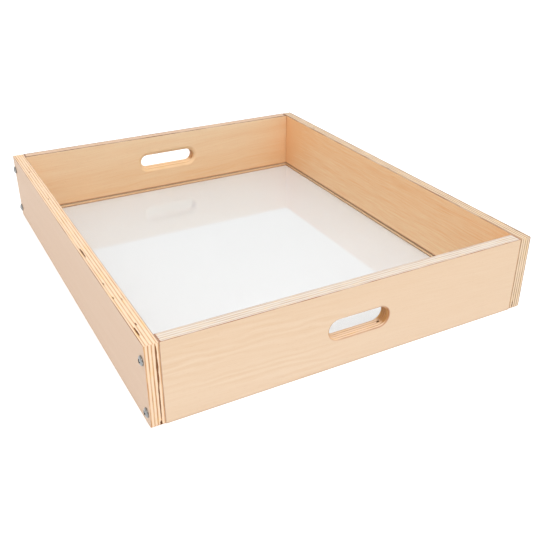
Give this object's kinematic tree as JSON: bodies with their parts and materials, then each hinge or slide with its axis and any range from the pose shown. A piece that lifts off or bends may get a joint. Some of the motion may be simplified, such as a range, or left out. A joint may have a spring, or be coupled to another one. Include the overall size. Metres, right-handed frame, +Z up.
{
  "type": "open tray with clear base",
  "caption": "Shallow open plywood tray with a clear captive base sheet, a hand hole in each end wall and screwed butt joints at the corners.",
  "frame": {"origin": "middle of the footprint, on the surface the tray stands on", "axes": "+Z up, +X along the front wall, +Y from the front wall to the back wall, along the longer side walls"},
  "size_m": [0.5572, 0.66, 0.11],
  "materials": {
    "birch_plywood": "matte",
    "clear_acrylic": "gloss",
    "zinc_steel": "satin",
    "insert_brass": "satin"
  },
  "bodies": {
    "root": {"front_wall": "birch_plywood", "back_wall": "birch_plywood", "left_wall": "birch_plywood", "right_wall": "birch_plywood", "base_sheet": "clear_acrylic", "screw_front_left_lower": "zinc_steel", "screw_front_left_upper": "zinc_steel", "screw_back_left_lower": "zinc_steel", "screw_back_left_upper": "zinc_steel", "screw_front_right_lower": "zinc_steel", "screw_front_right_upper": "zinc_steel", "screw_back_right_lower": "zinc_steel", "screw_back_right_upper": "zinc_steel", "insert_front_left_lower": "insert_brass", "insert_front_left_upper": "insert_brass", "insert_back_left_lower": "insert_brass", "insert_back_left_upper": "insert_brass", "insert_front_right_lower": "insert_brass", "insert_front_right_upper": "insert_brass", "insert_back_right_lower": "insert_brass", "insert_back_right_upper": "insert_brass"}
  },
  "joints": []
}
